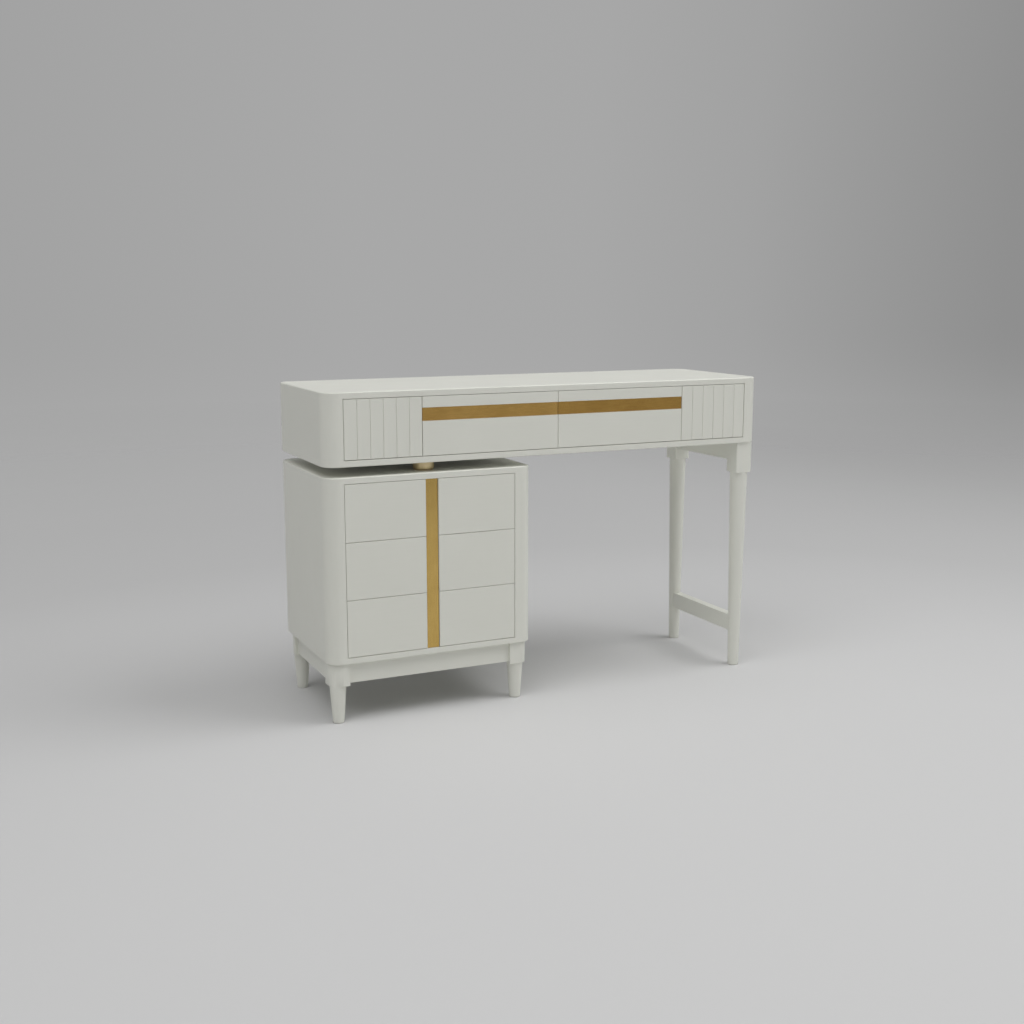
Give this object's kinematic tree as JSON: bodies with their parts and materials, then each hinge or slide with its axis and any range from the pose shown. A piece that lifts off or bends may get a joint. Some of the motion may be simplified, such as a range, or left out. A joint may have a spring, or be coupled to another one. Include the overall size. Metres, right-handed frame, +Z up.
{
  "type": "miniature dressing table",
  "caption": "Dolls' house dressing table with rounded corners, slatted ends, brass-striped drawers, a swivelling drawer cabinet and a two-legged end frame.",
  "frame": {"origin": "on the floor, under the middle of the table's plan at rest", "axes": "+X to the right along the worktop, +Y to the back, +Z up; the drawers open towards -Y"},
  "size_m": [0.1, 0.0324, 0.0659],
  "materials": {
    "white_paint": "satin off-white paint",
    "brass": "brushed",
    "bare_wood": "sanded, unpainted",
    "dowel_wood": "sanded",
    "steel": "plain",
    "nylon": "brown"
  },
  "bodies": {
    "desk": {"desk_top": "white_paint", "desk_bottom": "white_paint", "desk_left_side": "white_paint", "desk_right_side": "white_paint", "desk_back": "white_paint", "left_partition": "bare_wood", "middle_partition": "bare_wood", "right_partition": "bare_wood", "desk_drawer_runners": "bare_wood", "left_slats": "white_paint", "left_slat_backer": "white_paint", "right_slats": "white_paint", "right_slat_backer": "white_paint", "front_leg": "white_paint", "back_leg": "white_paint", "leg_top_rail": "white_paint", "leg_stretcher": "white_paint", "leg_frame_dowels": "dowel_wood", "pivot_post": "brass", "pivot_top_nut": "steel", "pivot_lock_nut": "steel"},
    "cabinet": {"cabinet_top": "white_paint", "cabinet_bottom": "white_paint", "cabinet_left_side": "white_paint", "cabinet_right_side": "white_paint", "cabinet_back": "white_paint", "cabinet_divider": "bare_wood", "cabinet_brass_stile": "brass", "cabinet_drawer_runners": "bare_wood", "pivot_bush": "brass", "pivot_washer": "nylon", "base_front_rail": "white_paint", "base_back_rail": "white_paint", "base_left_rail": "white_paint", "base_right_rail": "white_paint", "foot_front_left": "white_paint", "foot_front_right": "white_paint", "foot_back_left": "white_paint", "foot_back_right": "white_paint", "base_dowels": "dowel_wood"},
    "left_desk_drawer": {"left_drawer_front": "white_paint", "left_drawer_box": "bare_wood", "left_drawer_brass": "brass"},
    "right_desk_drawer": {"right_drawer_front": "white_paint", "right_drawer_box": "bare_wood", "right_drawer_brass": "brass"},
    "top_left_drawer": {"top_left_front": "white_paint", "top_left_box": "bare_wood"},
    "top_right_drawer": {"top_right_front": "white_paint", "top_right_box": "bare_wood"},
    "middle_left_drawer": {"middle_left_front": "white_paint", "middle_left_box": "bare_wood"},
    "middle_right_drawer": {"middle_right_front": "white_paint", "middle_right_box": "bare_wood"},
    "bottom_left_drawer": {"bottom_left_front": "white_paint", "bottom_left_box": "bare_wood"},
    "bottom_right_drawer": {"bottom_right_front": "white_paint", "bottom_right_box": "bare_wood"}
  },
  "joints": [
    {"name": "cabinet_swivel", "type": "hinge", "parent": "desk", "child": "cabinet", "pos_m": [-0.028, -0.0115, 0.0495], "axis": [0, 0, 1], "range_deg": [-90, 90]},
    {"name": "left_desk_drawer_slide", "type": "slide", "parent": "desk", "child": "left_desk_drawer", "axis": [0, -1, 0], "range_m": [0, 0.02]},
    {"name": "right_desk_drawer_slide", "type": "slide", "parent": "desk", "child": "right_desk_drawer", "axis": [0, -1, 0], "range_m": [0, 0.02]},
    {"name": "top_left_drawer_slide", "type": "slide", "parent": "cabinet", "child": "top_left_drawer", "axis": [0, -1, 0], "range_m": [0, 0.02]},
    {"name": "top_right_drawer_slide", "type": "slide", "parent": "cabinet", "child": "top_right_drawer", "axis": [0, -1, 0], "range_m": [0, 0.02]},
    {"name": "middle_left_drawer_slide", "type": "slide", "parent": "cabinet", "child": "middle_left_drawer", "axis": [0, -1, 0], "range_m": [0, 0.02]},
    {"name": "middle_right_drawer_slide", "type": "slide", "parent": "cabinet", "child": "middle_right_drawer", "axis": [0, -1, 0], "range_m": [0, 0.02]},
    {"name": "bottom_left_drawer_slide", "type": "slide", "parent": "cabinet", "child": "bottom_left_drawer", "axis": [0, -1, 0], "range_m": [0, 0.02]},
    {"name": "bottom_right_drawer_slide", "type": "slide", "parent": "cabinet", "child": "bottom_right_drawer", "axis": [0, -1, 0], "range_m": [0, 0.02]}
  ]
}
